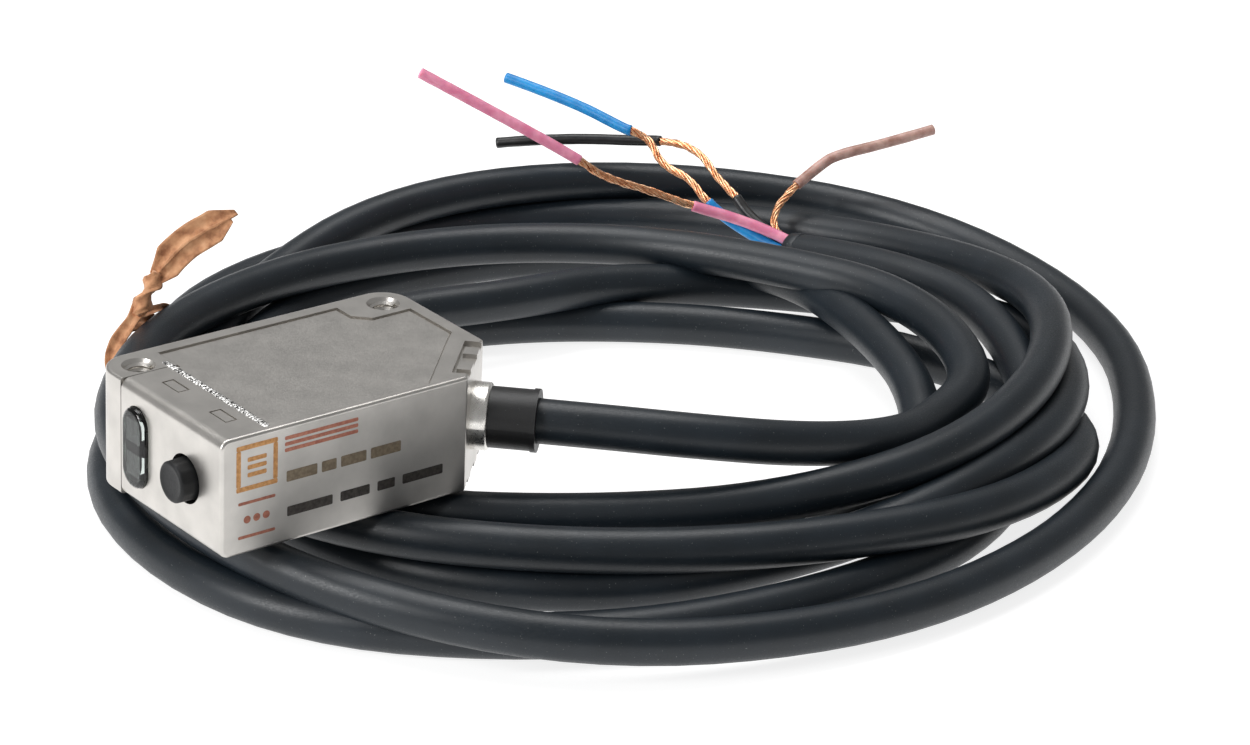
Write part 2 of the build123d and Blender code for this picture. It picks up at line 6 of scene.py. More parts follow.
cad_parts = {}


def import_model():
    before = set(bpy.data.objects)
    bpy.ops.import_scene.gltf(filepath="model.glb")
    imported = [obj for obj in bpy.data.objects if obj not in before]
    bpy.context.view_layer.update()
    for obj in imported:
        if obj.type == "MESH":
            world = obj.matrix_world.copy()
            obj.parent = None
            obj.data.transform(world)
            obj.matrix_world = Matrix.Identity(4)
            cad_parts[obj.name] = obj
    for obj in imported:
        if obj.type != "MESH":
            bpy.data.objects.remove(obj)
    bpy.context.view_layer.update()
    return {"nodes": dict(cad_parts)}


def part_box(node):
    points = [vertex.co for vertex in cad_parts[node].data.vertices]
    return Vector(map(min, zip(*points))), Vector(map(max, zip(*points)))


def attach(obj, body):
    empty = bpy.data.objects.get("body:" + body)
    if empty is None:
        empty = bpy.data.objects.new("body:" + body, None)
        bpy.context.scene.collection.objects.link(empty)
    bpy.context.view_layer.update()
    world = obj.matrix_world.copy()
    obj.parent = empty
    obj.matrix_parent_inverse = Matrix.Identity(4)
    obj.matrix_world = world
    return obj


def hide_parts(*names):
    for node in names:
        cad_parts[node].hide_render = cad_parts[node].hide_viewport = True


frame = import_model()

MM = 0.001
SENSOR, BUTTON = "sensor", "button"


def at(x, y, z):
    """A point of the shared frame, given in millimetres."""
    return Vector((x, y, z)) * MM


# ---- places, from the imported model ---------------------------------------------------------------
CASE_LOW, CASE_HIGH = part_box("main_case")
BUTTON_LOW, BUTTON_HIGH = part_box("teach_button")
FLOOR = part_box("cable_coil")[0].z
TOP = CASE_HIGH.z
BOTTOM = CASE_LOW.z
MIDDLE = (TOP + BOTTOM) / 2
LABEL_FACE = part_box("rear_cover")[0].y

CABLE_R = 2.0 * MM
CONDUCTOR_R = 0.55 * MM


# ---- meshes --------------------------------------------------------------------------------------
def piece(name, verts, faces, slot, body=SENSOR, material=None, smooth=True):
    """A mesh object that rides on a body, in its slot's finish unless another material is given."""
    mesh = bpy.data.meshes.new(name)
    mesh.from_pydata([tuple(v) for v in verts], [], faces)
    mesh.materials.append(material or FINISHES[slot])
    for face in mesh.polygons:
        face.use_smooth = smooth
    mesh.update()
    made = bpy.data.objects.new(name, mesh)
    bpy.context.scene.collection.objects.link(made)
    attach(made, body)
    return made


def loft(rings, closed=False, first=0):
    """Faces between rings of equal length, with a flat cap at each end unless the last meets the first."""
    count, faces = len(rings[0]), []
    pairs = len(rings) if closed else len(rings) - 1
    for k in range(pairs):
        here, there = first + k * count, first + (k + 1) % len(rings) * count
        for j in range(count):
            after = (j + 1) % count
            faces.append((here + j, here + after, there + after, there + j))
    if not closed:
        last = first + (len(rings) - 1) * count
        faces.append(tuple(reversed(range(first, first + count))))
        faces.append(tuple(range(last, last + count)))
    return faces


def lofted(groups, closed=False):
    """The vertices and faces of several lofts in one mesh."""
    verts, faces = [], []
    for rings in groups:
        faces += loft(rings, closed, len(verts))
        verts += [v for ring in rings for v in ring]
    return verts, faces


def nurbs(name, points, radius=0.0):
    """A smooth open line, or with a radius a round cord, that has these points as its control points."""
    curve = bpy.data.curves.new(name, "CURVE")
    curve.dimensions = "3D"
    curve.resolution_u = 8
    spline = curve.splines.new("NURBS")
    spline.points.add(len(points) - 1)
    for control, place in zip(spline.points, points):
        control.co = (*place, 1.0)
    spline.order_u = 3
    spline.use_endpoint_u = True
    if radius:
        curve.bevel_depth = radius
        curve.bevel_resolution = 8
        curve.use_fill_caps = True
    made = bpy.data.objects.new(name, curve)
    bpy.context.scene.collection.objects.link(made)
    return made


def read_line(route, step):
    """Points an even distance apart along a route's smooth line."""
    mesh = bpy.data.meshes.new_from_object(route)
    raw = [v.co.copy() for v in mesh.vertices]
    bpy.data.meshes.remove(mesh)
    line, gap = [raw[0]], 0.0
    for before, here in zip(raw, raw[1:]):
        run = here - before
        while gap + run.length >= step:
            before = before + run.normalized() * (step - gap)
            line.append(before)
            run, gap = here - before, 0.0
        gap += run.length
    return line


def smooth_line(points, step):
    """Points an even distance apart along the smooth line that these points steer."""
    scratch = nurbs("scratch_route", points)
    line = read_line(scratch, step)
    bpy.data.objects.remove(scratch)
    return line


def frames(line):
    """A place, a forward direction and two directions square to it at each point, without twist."""
    found, side = [], None
    for k, place in enumerate(line):
        forward = (line[min(k + 1, len(line) - 1)] - line[max(k - 1, 0)]).normalized()
        if side is None:
            side = forward.orthogonal()
        side = (side - forward * side.dot(forward)).normalized()
        found.append((place, forward, side, forward.cross(side)))
    return found


def circle(place, side, up, radius, count):
    """A ring of points round a place."""
    angles = [2 * pi * j / count for j in range(count)]
    return [place + side * (radius * cos(a)) + up * (radius * sin(a)) for a in angles]


def lathe(origin, axis, profile, count, shape):
    """Rings round an axis, for a profile of (distance along it, radius) that shape(angle, along) scales."""
    side = axis.orthogonal().normalized()
    up = axis.cross(side)
    rings = []
    for along, radius in profile:
        ring = []
        for j in range(count):
            angle = 2 * pi * j / count
            reach = radius * shape(angle, along)
            ring.append(origin + axis * along + side * (reach * cos(angle)) + up * (reach * sin(angle)))
        rings.append(ring)
    return rings


# ---- finishes ------------------------------------------------------------------------------------
NOISE_LOW, NOISE_HIGH = 0.3, 0.7          # noise seldom leaves this range
SHADE_LOW, SHADE_HIGH = 0.35, 0.65        # where the darker shade ends and the lighter one begins


class Finish:
    """A node material: one Principled shader, and the textures that vary it."""

    def __init__(self, name, colour, rough, **sockets):
        self.material = bpy.data.materials.new(name)
        self.material.use_nodes = True
        self.nodes = self.material.node_tree.nodes
        self.links = self.material.node_tree.links
        self.shader = self.nodes["Principled BSDF"]
        self.shader.inputs["Base Color"].default_value = (*colour, 1.0)
        self.shader.inputs["Roughness"].default_value = rough
        for socket, value in sockets.items():
            self.shader.inputs[socket.replace("_", " ")].default_value = value
        self.place = self.nodes.new("ShaderNodeTexCoord").outputs["Object"]

    def noise(self, size, detail=2.0, stretch=(1, 1, 1)):
        """Cloudy noise with spots about this many millimetres across."""
        scaled = self.nodes.new("ShaderNodeMapping")
        scaled.inputs["Scale"].default_value = [1 / (size * MM * k) for k in stretch]
        self.links.new(self.place, scaled.inputs["Vector"])
        texture = self.nodes.new("ShaderNodeTexNoise")
        texture.inputs["Scale"].default_value = 1.0
        texture.inputs["Detail"].default_value = detail
        self.links.new(scaled.outputs["Vector"], texture.inputs["Vector"])
        return texture.outputs["Fac"]

    def ramp(self, factor, stops):
        """Colours or grey levels against a factor."""
        ramp = self.nodes.new("ShaderNodeValToRGB")
        elements = ramp.color_ramp.elements
        while len(elements) < len(stops):
            elements.new(0.5)
        for element, (position, value) in zip(elements, stops):
            element.position = position
            element.color = (*value, 1.0) if isinstance(value, tuple) else (value, value, value, 1.0)
        self.links.new(factor, ramp.inputs["Fac"])
        return ramp.outputs["Color"]

    def mix(self, factor, low, high):
        """Between two colours or textures."""
        mixer = self.nodes.new("ShaderNodeMix")
        mixer.data_type = "RGBA"
        self.links.new(factor, mixer.inputs["Factor"])
        for socket, value in (("A", low), ("B", high)):
            target = [i for i in mixer.inputs if i.name == socket and i.type == "RGBA"][0]
            if isinstance(value, tuple):
                target.default_value = (*value, 1.0)
            else:
                self.links.new(value, target)
        return [o for o in mixer.outputs if o.type == "RGBA"][0]

    def paint(self, colour):
        self.links.new(colour, self.shader.inputs["Base Color"])
        return self

    def shades(self, texture, dark, light):
        """Colours that drift between two shades, following a texture."""
        return self.ramp(texture, [(SHADE_LOW, dark), (SHADE_HIGH, light)])

    def roughen(self, factor, low, high):
        """Roughness between two values, following a texture."""
        spread = self.nodes.new("ShaderNodeMapRange")
        spread.inputs["From Min"].default_value = NOISE_LOW
        spread.inputs["From Max"].default_value = NOISE_HIGH
        spread.inputs["To Min"].default_value = low
        spread.inputs["To Max"].default_value = high
        self.links.new(factor, spread.inputs["Value"])
        self.links.new(spread.outputs["Result"], self.shader.inputs["Roughness"])
        return self

    def bump(self, height, depth):
        """Relief of this depth in millimetres, on top of what is there."""
        relief = self.nodes.new("ShaderNodeBump")
        relief.inputs["Distance"].default_value = depth * MM
        self.links.new(height, relief.inputs["Height"])
        normal = self.shader.inputs["Normal"]
        if normal.is_linked:
            self.links.new(normal.links[0].from_socket, relief.inputs["Normal"])
        self.links.new(relief.outputs["Normal"], normal)
        return self


def steel():
    """Satin stainless sheet: fine blasted grain and faint clouds."""
    made = Finish("satin_steel", (0.55, 0.53, 0.50), 0.3, Metallic=1.0)
    made.paint(made.shades(made.noise(3.0, 3.0), (0.56, 0.54, 0.51), (0.65, 0.625, 0.59)))
    grain = made.noise(0.10, 3.0)
    made.roughen(grain, 0.28, 0.40)
    return made.bump(grain, 0.004).bump(made.noise(0.6, 2.0), 0.002).material


def weld_steel():
    """Fused metal: rough, bright and dark by turns, with painted shade in the hollows of its grain and
    painted glints on its crests.
    """
    made = Finish("weld_metal", (0.4, 0.4, 0.39), 0.3, Metallic=1.0)
    grain = made.noise(0.22, 3.0)
    # painted shade and painted glints: the grain that also raises the relief is near black in its hollows and
    # bright on its crests
    made.paint(made.ramp(grain, [
        (0.38, (0.03, 0.029, 0.028)), (0.47, (0.35, 0.345, 0.335)), (0.56, (0.90, 0.89, 0.87))]))
    return made.roughen(made.noise(0.2), 0.2, 0.5).bump(grain, 0.08).bump(made.noise(0.12), 0.03).material


def nickel():
    """Plated brass: bright, with a very fine grain."""
    made = Finish("plated_nickel", (0.72, 0.70, 0.66), 0.16, Metallic=1.0)
    made.paint(made.shades(made.noise(1.2), (0.82, 0.80, 0.76), (0.93, 0.91, 0.87)))
    return made.roughen(made.noise(0.3, 3.0), 0.24, 0.34).bump(made.noise(0.15, 2.0), 0.002).material


def smoky_glass():
    """Clear moulded resin with a grey-green tint."""
    made = Finish("smoky_window", (0.55, 0.61, 0.58), 0.03, Transmission_Weight=1.0, IOR=1.49)
    made.paint(made.ramp(made.noise(1.5), [(0.4, (0.52, 0.58, 0.55)), (0.6, (0.59, 0.65, 0.62))]))
    return made.roughen(made.noise(0.6), 0.01, 0.05).bump(made.noise(0.8), 0.002).material


def lens_acrylic():
    """Clear acrylic lens and glass."""
    made = Finish("clear_lens", (0.95, 0.96, 0.96), 0.02, Transmission_Weight=1.0, IOR=1.49)
    return made.roughen(made.noise(1.0), 0.01, 0.05).bump(made.noise(2.0), 0.001).material


def moulded(name, dark, light, rough, grain, depth, **sockets):
    """Moulded rubber or plastic with a fine skin."""
    made = Finish(name, dark, rough, **sockets)
    made.paint(made.shades(made.noise(2.5, 3.0), dark, light))
    skin = made.noise(grain, 3.0)
    return made.roughen(skin, rough - 0.07, rough + 0.09).bump(skin, depth).material


def dusty(name, dark, light, rough, grain, depth, dust):
    """Soft plastic with a fine skin, faint clouds and sparse specks of dust."""
    made = Finish(name, dark, rough, Specular_IOR_Level=0.5)
    base = made.shades(made.noise(6.0, 3.0), dark, light)
    specks = made.ramp(made.noise(0.13, 0.0), [(0.80, 0.0), (0.85, 0.5)])
    made.paint(made.mix(specks, base, dust))
    skin = made.noise(grain, 4.0)
    made.roughen(skin, rough - 0.08, rough + 0.12)
    return made.bump(skin, depth).bump(made.noise(9.0, 1.0), 0.05).material


def copper():
    """Drawn bare copper, slightly tarnished along the wire."""
    made = Finish("bare_copper", (0.80, 0.45, 0.27), 0.3, Metallic=1.0)
    tone = made.noise(0.6, 3.0)
    made.paint(made.ramp(tone, [
        (0.35, (0.72, 0.32, 0.16)), (0.5, (0.95, 0.49, 0.27)), (0.68, (1.0, 0.66, 0.42))]))
    return made.roughen(made.noise(0.2), 0.2, 0.4).bump(made.noise(0.08), 0.006).material


def insulation(colour, dark, light):
    """Thin PVC over a conductor: softly glossy, and a little translucent."""
    made = Finish(colour + "_pvc", light, 0.38, Subsurface_Weight=0.15, Subsurface_Scale=0.0004)
    made.paint(made.shades(made.noise(1.2, 3.0), dark, light))
    return made.roughen(made.noise(0.2, 3.0), 0.30, 0.46).bump(made.noise(0.25, 3.0), 0.006).material


def kraft_paper():
    """Brown crepe paper: fibres and creases, with painted shade where the creases sink and painted light
    where they rise.
    """
    made = Finish("kraft_paper", (0.50, 0.27, 0.13), 0.75, Sheen_Weight=0.2)
    crease_relief_and_shade = made.noise(1.1, 4.0)
    # painted shade and painted light: darker where the crease relief is low, lighter where it is high
    made.paint(made.ramp(crease_relief_and_shade, [
        (0.32, (0.30, 0.12, 0.05)), (0.5, (0.56, 0.27, 0.13)), (0.68, (0.70, 0.38, 0.20))]))
    fibres = made.noise(0.25, 4.0, stretch=(1, 1, 3))
    return made.roughen(fibres, 0.65, 0.9).bump(crease_relief_and_shade, 0.10).bump(fibres, 0.03).material


def laser_mark(name, dark, light):
    """Heat tint left on steel by a marking laser."""
    made = Finish(name, light, 0.4, Metallic=0.55)
    made.paint(made.shades(made.noise(0.35, 3.0), dark, light))
    return made.roughen(made.noise(0.12), 0.3, 0.5).bump(made.noise(0.10, 3.0), 0.004).material


def lamp(name, dark, light):
    """Tinted resin of a small surface-mounted lamp, unlit."""
    made = Finish(name, light, 0.25, Transmission_Weight=0.3)
    made.paint(made.shades(made.noise(0.6), dark, light))
    return made.roughen(made.noise(0.3), 0.18, 0.35).material


def board():
    """Green solder resist with faint tracks under it."""
    made = Finish("green_board", (0.02, 0.13, 0.06), 0.35)
    tracks = made.noise(0.9, 0.0, stretch=(1, 3, 1))
    resist, track = (0.012, 0.09, 0.04), (0.03, 0.19, 0.08)
    made.paint(made.ramp(tracks, [(0.47, resist), (0.50, track), (0.53, resist)]))
    return made.roughen(made.noise(0.3), 0.28, 0.45).bump(tracks, 0.02).material


# The finish of each of the record's slots.
FINISHES = {
    "case_steel": steel(),
    "weld_steel": weld_steel(),
    "collar_nickel": nickel(),
    "window_clear": smoky_glass(),
    "lens_acrylic": lens_acrylic(),
    "button_rubber": moulded(
        "button_rubber_skin", (0.0055, 0.006, 0.0065), (0.0105, 0.011, 0.012),
        rough=0.48, grain=0.12, depth=0.012, Specular_IOR_Level=0.3),
    "sleeve_rubber": dusty(
        "sleeve_rubber_skin", (0.0045, 0.0045, 0.005), (0.0095, 0.0095, 0.010),
        rough=0.42, grain=0.10, depth=0.012, dust=(0.10, 0.10, 0.10)),
    "cable_pvc": dusty(
        "cable_pvc_skin", (0.0040, 0.0082, 0.0125), (0.0075, 0.0130, 0.0190),
        rough=0.40, grain=0.14, depth=0.010, dust=(0.20, 0.21, 0.21)),
    "seal_rubber": moulded(
        "seal_rubber_skin", (0.008, 0.008, 0.008), (0.016, 0.016, 0.016), rough=0.6, grain=0.2, depth=0.01),
    "black_plastic": moulded(
        "black_plastic_skin", (0.010, 0.010, 0.011), (0.020, 0.020, 0.022),
        rough=0.45, grain=0.15, depth=0.01),
    "component_dark": moulded(
        "component_epoxy", (0.014, 0.014, 0.014), (0.030, 0.030, 0.031), rough=0.5, grain=0.08, depth=0.01),
    "flex_amber": moulded(
        "flex_polyimide", (0.42, 0.17, 0.03), (0.55, 0.25, 0.05), rough=0.3, grain=0.3, depth=0.004),
    "emitter_resin": moulded(
        "emitter_resin_skin", (0.30, 0.32, 0.40), (0.42, 0.44, 0.52),
        rough=0.15, grain=0.5, depth=0.002, Transmission_Weight=0.6),
    "shield_tin": moulded(
        "tinned_shield", (0.60, 0.60, 0.58), (0.72, 0.72, 0.70),
        rough=0.28, grain=0.2, depth=0.004, Metallic=1.0),
    "lamp_green": lamp("lamp_green_resin", (0.05, 0.22, 0.08), (0.12, 0.40, 0.16)),
    "lamp_orange": lamp("lamp_orange_resin", (0.50, 0.16, 0.02), (0.75, 0.30, 0.05)),
    "board_green": board(),
    "copper": copper(),
    "insulation_pink": insulation("pink", (0.78, 0.22, 0.37), (0.92, 0.36, 0.51)),
    "insulation_blue": insulation("blue", (0.003, 0.21, 0.56), (0.008, 0.32, 0.74)),
    "insulation_black": insulation("black", (0.004, 0.004, 0.004), (0.010, 0.010, 0.011)),
    "insulation_brown": insulation("brown", (0.36, 0.19, 0.15), (0.60, 0.38, 0.33)),
    "kraft_paper": kraft_paper(),
}


def finish_cad_nodes():
    """Every CAD node takes the finish of its own slot."""
    for node in frame["nodes"].values():
        for place in node.material_slots:
            place.material = FINISHES[place.material.name]


# ---- the cable -----------------------------------------------------------------------------------
# Points in millimetres, from inside the sleeve to the first loose turn.
LEAD_ROUTE = [
    (10.24, -11.94, -5.4), (18.86, -20.56, -5.4), (27.2, -27.2, -6.1), (36.0, -30.4, -7.8),
    (45.5, -30.6, -9.8), (53.5, -28.0, -11.4),
]
# The loose turns, in millimetres. Each row is one turn, with STATIONS places round it from
# FIRST_HEADING on: first their reaches from the coil's axis, then their lifts above the lowest layer.
COIL_X = 38.0
FIRST_HEADING = -40.0        # degrees from +X
STATIONS = 12
TURNS = [
    ([34.0, 32.0, 28.3, 30.5, 34.0, 38.0, 42.5, 48.0, 50.0, 50.5, 47.5, 46.5],
     [6.0, 6.6, 5.8, 4.6, 3.8, 3.7, 4.2, 4.6, 3.4, 1.8, 0.5, 0]),
    ([49.0, 55.0, 57.2, 51.0, 46.0, 41.0, 38.0, 41.0, 40.5, 37.0, 38.2, 42.8],
     [0, 0.3, 1.7, 3.7, 4.0, 0.6, 0, 2.6, 4.0, 3.9, 4.1, 3.2]),
    ([45.1, 34.9, 24.9, 21.6, 22.4, 27.0, 30.2, 33.2, 34.0, 31.0, 32.0, 32.0],
     [0.7, 0, 0, 0, 0, 0, 0, 0, 0, 0, 0, 0.6]),
    ([29.0, 27.7, 31.7, 38.6, 37.4, 37.0, 34.2, 37.3, 38.8, 37.4, 35.7, 38.9],
     [3.2, 4.1, 3.9, 0.6, 0, 0, 0, 0, 0, 0, 1.6, 4.2]),
    ([43.0, 46.5, 36.1, 23.9, 18.8, 23.2, 32.5, 35.5, 35.0, 29.8, 32.3, 36.4],
     [4.0, 1.6, 0.1, 3.2, 3.9, 3.9, 3.7, 3.6, 3.7, 3.8, 5.2, 6.5]),
    ([40.5, 46.5, 47.0, 49.0, 46.3, 45.8, 42.0, 49.3, 51.6, 45.7, 40.8, 40.0],
     [7.4, 5.6, 2.4, 0.2, 0, 0, 0, 0, 0, 0, 0, 0]),
    ([39.6, 40.8],
     [2.4, 4.1]),
]
TAIL_ROUTE = [(78.0, 8.2, -13.2), (75.6, 17.3, -14.8)]       # from the last turn to the stripped end


def coil_points():
    """Control points of the turns: a spline of order 3 runs inside them by the cosine of half a station."""
    step = 360.0 / STATIONS
    inset = cos(radians(step / 2))
    heading, points = FIRST_HEADING, []
    for reaches, lifts in TURNS:
        for reach, lift in zip(reaches, lifts):
            out = reach * MM / inset
            x = COIL_X * MM + out * cos(radians(heading))
            y = out * sin(radians(heading))
            points.append(Vector((x, y, FLOOR + CABLE_R + lift * MM)))
            heading += step
    return points


def cable():
    """The whole cable, from the sleeve to the stripped end, as one cord."""
    route = [at(*p) for p in LEAD_ROUTE] + coil_points() + [at(*p) for p in TAIL_ROUTE]
    made = nurbs("coiled_cable", route, CABLE_R)
    made.data.materials.append(FINISHES["cable_pvc"])
    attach(made, SENSOR)
    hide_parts("cable_lead", "cable_coil")
    return made


def jacket_end():
    """The cut end of the cable's jacket, with a soft lip and a hollow that the conductors come out of."""
    before, end = [at(*p) for p in TAIL_ROUTE]
    axis = (end - before).normalized()
    profile = [(-0.9, 1.98), (-0.7, 2.05), (0.25, 2.06), (0.45, 1.98), (0.52, 1.85), (0.50, 1.62),
               (0.38, 1.52), (0.12, 1.46), (0.08, 1.0), (0.08, 0.3)]

    def hand_cut(angle, along):
        return 1 + 0.015 * sin(3 * angle + 4 * along / MM)

    rings = lathe(end, axis, [(x * MM, r * MM) for x, r in profile], 40, hand_cut)
    return piece("jacket_end", *lofted([rings]), "cable_pvc")


# ---- the four conductors -------------------------------------------------------------------------
# Each colour: the points in millimetres of its stub, of its bare copper and of its insulated tip.
CONDUCTORS = {
    "pink": (
        [(75.9, 16.6, -14.1), (75.2, 18.8, -13.5), (72.4, 22.6, -12.2), (68.4, 25.5, -10.9)],
        [(64.2, 28.5, -9.0), (61.1, 30.2, -8.0), (58.9, 31.6, -6.1)],
        [(52.4, 36.5, -1.6), (46.0, 41.4, 2.6)]),
    "blue": (
        [(75.2, 16.6, -14.9), (74.4, 19.8, -14.6), (72.4, 23.6, -13.0), (70.9, 26.2, -11.1)],
        [(70.8, 28.6, -9.5), (69.4, 31.5, -8.7), (69.6, 33.9, -6.8), (68.3, 35.3, -5.9)],
        [(68.0, 35.6, -6.0), (65.2, 41.7, -4.1), (61.4, 48.0, -2.8)]),
    "black": (
        [(75.9, 16.6, -15.2), (75.3, 20.2, -13.9), (74.6, 23.7, -12.7), (74.6, 26.0, -11.2)],
        [(74.0, 28.6, -9.8), (74.2, 30.5, -8.6), (73.8, 32.6, -7.9), (72.1, 35.4, -7.8)],
        [(71.1, 37.4, -8.3), (66.9, 42.0, -8.7), (62.5, 46.4, -9.5), (60.9, 48.2, -10.0)]),
    "brown": (
        [(76.0, 17.0, -14.7), (75.6, 19.2, -14.2), (75.5, 20.6, -13.5)],
        [(76.6, 22.1, -11.9), (79.6, 22.3, -9.9)],
        [(80.6, 22.4, -9.5), (83.0, 22.6, -8.5), (84.7, 22.5, -7.8), (90.3, 21.2, -7.2), (95.6, 19.9, -6.3)]),
}
LINE_STEP = 0.25 * MM
WIRE_R = 0.14 * MM
BUNDLE_R = 0.26 * MM         # from the bundle's middle to the outer wires' middles
WIRES_OUTSIDE = 6
LAY_LENGTH = 5.5 * MM        # the bundle twists round once in this length
BUNDLE_HIDDEN = 4            # steps of the line that the bundle runs on inside each sleeve
SLEEVE_SIDES = 20
WIRE_SIDES = 8
# The square-cut end of a sleeve, in sleeve radii: (distance past the end, radius), from the inside out.
SLEEVE_END = [(-0.35, 0.62), (0.05, 0.62), (0.08, 0.93)]


def nearest(line, place):
    """The index of the point of a line that lies nearest to a place."""
    return min(range(len(line)), key=lambda k: (line[k] - place).length)


def sleeve_rings(line, radius):
    """A tube with its two ends cut square: small lips that turn in to a hollow."""
    stations = frames(line)

    def end(station, outward):
        place, forward, side, up = station
        return [circle(place + forward * (outward * past * radius), side, up, radius * share, SLEEVE_SIDES)
                for past, share in SLEEVE_END]

    rings = []
    for place, _, side, up in stations:
        swell = 1 + 0.03 * noise.noise(place * 900)
        rings.append(circle(place, side, up, radius * swell, SLEEVE_SIDES))
    return end(stations[0], -1) + rings + end(stations[-1], 1)[::-1]


def wire_rings(stations, spread, phase):
    """One wire of a twisted bundle, a little loose where the bundle is bent by hand."""
    middle, turned = [], phase
    for k, (place, _, side, up) in enumerate(stations):
        loose = 1 + 0.45 * noise.noise(Vector((k * 0.11, phase * 3, 0.0)))
        reach = spread * loose
        middle.append(place + side * (reach * cos(turned)) + up * (reach * sin(turned)))
        turned += 2 * pi * LINE_STEP / LAY_LENGTH
    return [circle(place, side, up, WIRE_R, WIRE_SIDES) for place, _, side, up in frames(middle)]


def conductor(colour):
    """Insulated stub, bare twisted wires and insulated tip, all along one smooth line."""
    stub, bare, tip = [[at(*p) for p in part] for part in CONDUCTORS[colour]]
    line = smooth_line(stub + bare + tip, LINE_STEP)
    stub_end = nearest(line, stub[-1])
    tip_start = nearest(line, bare[-1])
    jackets = [sleeve_rings(line[:stub_end], CONDUCTOR_R), sleeve_rings(line[tip_start:], CONDUCTOR_R)]
    sleeves = piece(colour + "_sleeves", *lofted(jackets), "insulation_" + colour)
    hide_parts(colour + "_insulation")
    stations = frames(line)[stub_end - BUNDLE_HIDDEN:tip_start + BUNDLE_HIDDEN + 1]
    bundle = [wire_rings(stations, 0.0, 0.0)]
    bundle += [wire_rings(stations, BUNDLE_R, 2 * pi * k / WIRES_OUTSIDE) for k in range(WIRES_OUTSIDE)]
    wires = piece(colour + "_wires", *lofted(bundle), "copper")
    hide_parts(colour + "_strands")
    return [sleeves, wires]


# ---- the paper tie -------------------------------------------------------------------------------
# In millimetres. The band goes round the turns on the floor, and is twisted together at the knot.
TIE_HEADING = 140.0          # degrees from +X
TIE_OUT = (27.7, 45.6)       # the band's inner and outer reach from the coil's axis
TIE_HIGH = 4.6
TIE_CORNER = 2.1
TIE_WIDE = 2.6
TIE_CLEAR = 0.45             # from the floor to the band's middle line
PAPER = 0.20                 # thickness of the folded paper
RISER = [(3.2, 29.6, -15.8), (2.8, 30.0, -14.2), (3.7, 30.2, -12.6), (5.3, 30.1, -11.0), (6.7, 30.3, -9.4)]
RETURN = [(6.0, 30.3, -10.5), (7.9, 30.7, -10.5), (9.8, 31.6, -10.9), (11.9, 33.4, -12.4),
          (13.5, 35.5, -14.5)]
FLAP = [(5.0, 30.2, -11.4), (7.0, 30.9, -11.3), (9.2, 32.2, -12.3), (11.5, 34.0, -14.8)]
KNOT = [(5.9, 30.2, -10.4), (6.9, 30.3, -9.1), (7.6, 30.3, -7.8), (8.3, 30.1, -6.5)]
LEAF = [(8.0, 30.2, -7.2), (9.6, 29.8, -4.9), (12.2, 28.7, -2.9), (15.3, 27.1, -1.1)]


def ribbon_ring(place, across, through, half, fold, ruffle):
    """A section of folded paper: two flat wings that meet in a crease."""
    count = 9
    top, under = [], []
    for j in range(count):
        share = 2 * j / (count - 1) - 1
        depth = fold * (1 - abs(share)) + ruffle * noise.noise((place + across * (share * half)) * 700)
        spot = place + across * (share * half) + through * depth
        top.append(spot + through * (PAPER * MM / 2))
        under.append(spot - through * (PAPER * MM / 2))
    return top + under[::-1]


def tie_band():
    """The band round the bundle: a rounded box of crumpled paper."""
    out = Vector((cos(radians(TIE_HEADING)), sin(radians(TIE_HEADING)), 0))
    along = Vector((-out.y, out.x, 0))
    inner, outer = TIE_OUT
    middle, width = (inner + outer) / 2, outer - inner
    side, low, top = width / 2 - TIE_CORNER, TIE_CORNER, TIE_HIGH - TIE_CORNER
    outline, arc_steps = [], 8
    for x, z, start in ((side, low, -90), (side, top, 0), (-side, top, 90), (-side, low, 180)):
        for k in range(arc_steps + 1):
            angle = radians(start + 90 * k / arc_steps)
            outline.append((x + TIE_CORNER * cos(angle), z + TIE_CORNER * sin(angle)))
    dense, spacing = [], 0.8
    for (x0, z0), (x1, z1) in zip(outline, outline[1:] + outline[:1]):
        parts = max(1, round(hypot(x1 - x0, z1 - z0) / spacing))
        dense += [(x0 + (x1 - x0) * k / parts, z0 + (z1 - z0) * k / parts) for k in range(parts)]
    rings = []
    for k, (x, z) in enumerate(dense):
        before, after = dense[k - 1], dense[(k + 1) % len(dense)]
        tangent = (out * (after[0] - before[0]) + Vector((0, 0, after[1] - before[1]))).normalized()
        through = along.cross(tangent).normalized()
        place = at(COIL_X, 0, 0) + out * ((middle + x) * MM) + Vector((0, 0, FLOOR + (z + TIE_CLEAR) * MM))
        pinch = 0.82 + 0.18 * noise.noise(Vector((k * 0.21, 0.0, 3.0)))
        rings.append(ribbon_ring(place, along, through, TIE_WIDE / 2 * pinch * MM, 0.10 * MM, 0.20 * MM))
    return lofted([rings], closed=True)


def tie_strip(points, half, facing):
    """A folded strip of paper along a route, creased down its middle and a little uneven."""
    line = smooth_line([at(*p) for p in points], 0.2 * MM)
    rings = []
    for place, forward, _, _ in frames(line):
        across = forward.cross(facing).normalized()
        through = forward.cross(across)
        wide = half * (0.85 + 0.35 * noise.noise(place * 500))
        rings.append(ribbon_ring(place, across, through, wide * MM, 0.30 * MM, 0.25 * MM))
    return rings


def tie_knot():
    """Where the tie is twisted: a flat rope of paper that turns as it goes."""
    line = smooth_line([at(*p) for p in KNOT], 0.15 * MM)
    wide_r, thin_r, count = 1.0, 0.62, 18
    rings = []
    for k, (place, _, side, up) in enumerate(frames(line)):
        share = k / (len(line) - 1)
        turn = share * 1.9 * pi
        bulge = 0.62 + 0.38 * sin(share * 2.1 * pi) ** 2
        wide = side * cos(turn) + up * sin(turn)
        thin = up * cos(turn) - side * sin(turn)
        ring = []
        for j in range(count):
            angle = 2 * pi * j / count
            crumple = 0.12 * noise.noise(place * 900 + Vector((angle, 0, 0)))
            reach = (1 + 0.16 * cos(5 * angle + 9 * share) + crumple) * bulge * MM
            ring.append(place + wide * (wide_r * reach * cos(angle)) + thin * (thin_r * reach * sin(angle)))
        rings.append(ring)
    return lofted([rings])


